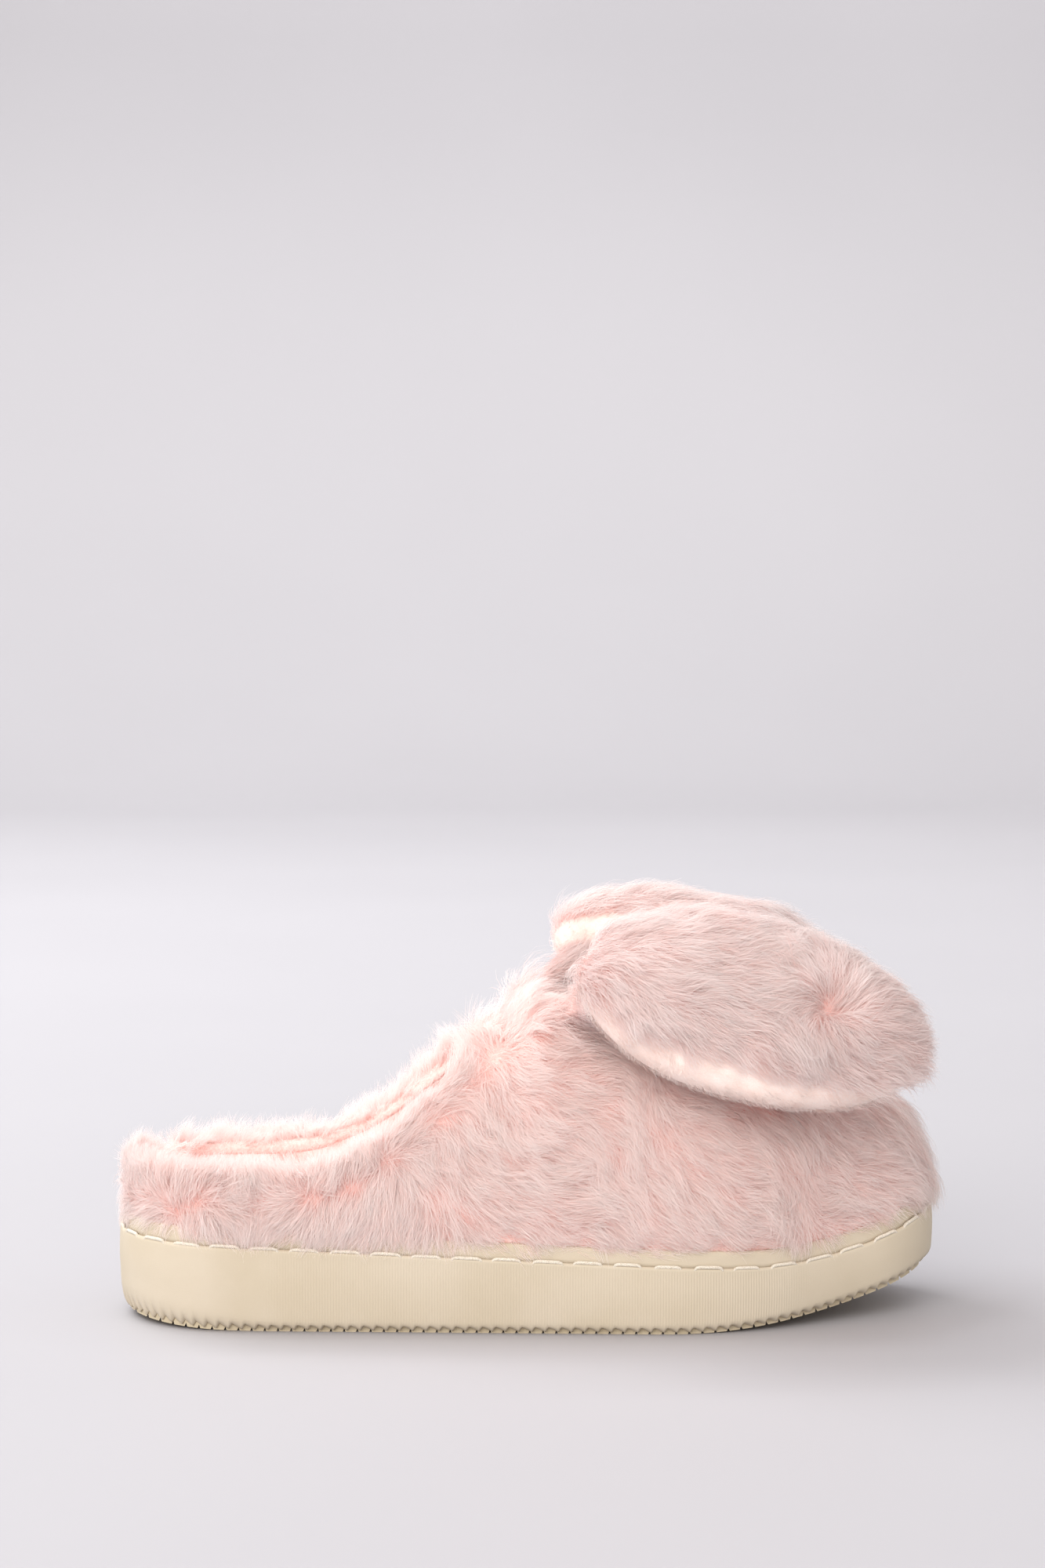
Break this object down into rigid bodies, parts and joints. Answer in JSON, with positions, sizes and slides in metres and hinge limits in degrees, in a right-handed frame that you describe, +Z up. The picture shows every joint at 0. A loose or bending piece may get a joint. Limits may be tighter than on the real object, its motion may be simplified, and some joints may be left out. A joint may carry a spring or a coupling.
{
  "type": "house slipper",
  "caption": "Closed-toe slip-on house slipper with a long-pile fur upper, a low fur heel collar, a stitched foam cupsole and soft stuffed ears that lie on the vamp.",
  "frame": {"origin": "on the ground plane under the slipper, at mid length of the sole, on the line through the heel's centre", "axes": "+X from heel to toe, +Y towards the inner side of the foot, +Z up"},
  "size_m": [0.255, 0.1236, 0.1258],
  "materials": {
    "fur": "long-pile pale pink faux fur",
    "velour": "short pink velour",
    "plush": "short pink plush lining",
    "sole_foam": "matte cream moulded foam rubber",
    "tread": "matte cream rubber",
    "filler_foam": "open-cell foam",
    "stuffing": "loose polyester fibre",
    "fibre_board": "pressed fibre board",
    "stiffener": "thin thermoplastic sheet",
    "tape": "pink woven tape",
    "thread": "cream bonded thread"
  },
  "bodies": {
    "shoe": {"outsole_tread": "tread", "cupsole": "sole_foam", "sidewall_lip": "sole_foam", "midsole_foam": "filler_foam", "insole_board": "fibre_board", "footbed_foam": "filler_foam", "footbed_sock": "plush", "sidewall_stitches": "thread", "vamp_fur": "fur", "collar_fur": "fur", "toe_puff": "stiffener", "heel_counter": "stiffener", "side_seam_tapes": "tape", "vamp_foam": "filler_foam", "collar_foam": "filler_foam", "vamp_lining": "plush", "collar_lining": "plush", "topline_binding": "tape", "ear_lateral_root_tape": "tape", "ear_medial_root_tape": "tape"},
    "ear_lateral": {"ear_lateral_fur": "fur", "ear_lateral_velour": "velour", "ear_lateral_stuffing": "stuffing", "ear_lateral_tuft_thread": "thread", "ear_lateral_neck": "fur"},
    "ear_medial": {"ear_medial_fur": "fur", "ear_medial_velour": "velour", "ear_medial_stuffing": "stuffing", "ear_medial_tuft_thread": "thread", "ear_medial_neck": "fur"}
  },
  "joints": [
    {"name": "ear_lateral_lift", "type": "hinge", "parent": "shoe", "child": "ear_lateral", "pos_m": [0.012, -0.022, 0.09811], "axis": [-0.2385, -0.6541, -0.7178], "range_deg": [0, 70]},
    {"name": "ear_medial_lift", "type": "hinge", "parent": "shoe", "child": "ear_medial", "pos_m": [0.007, 0.022, 0.09956], "axis": [0.1736, -0.8235, 0.5401], "range_deg": [0, 70]}
  ]
}
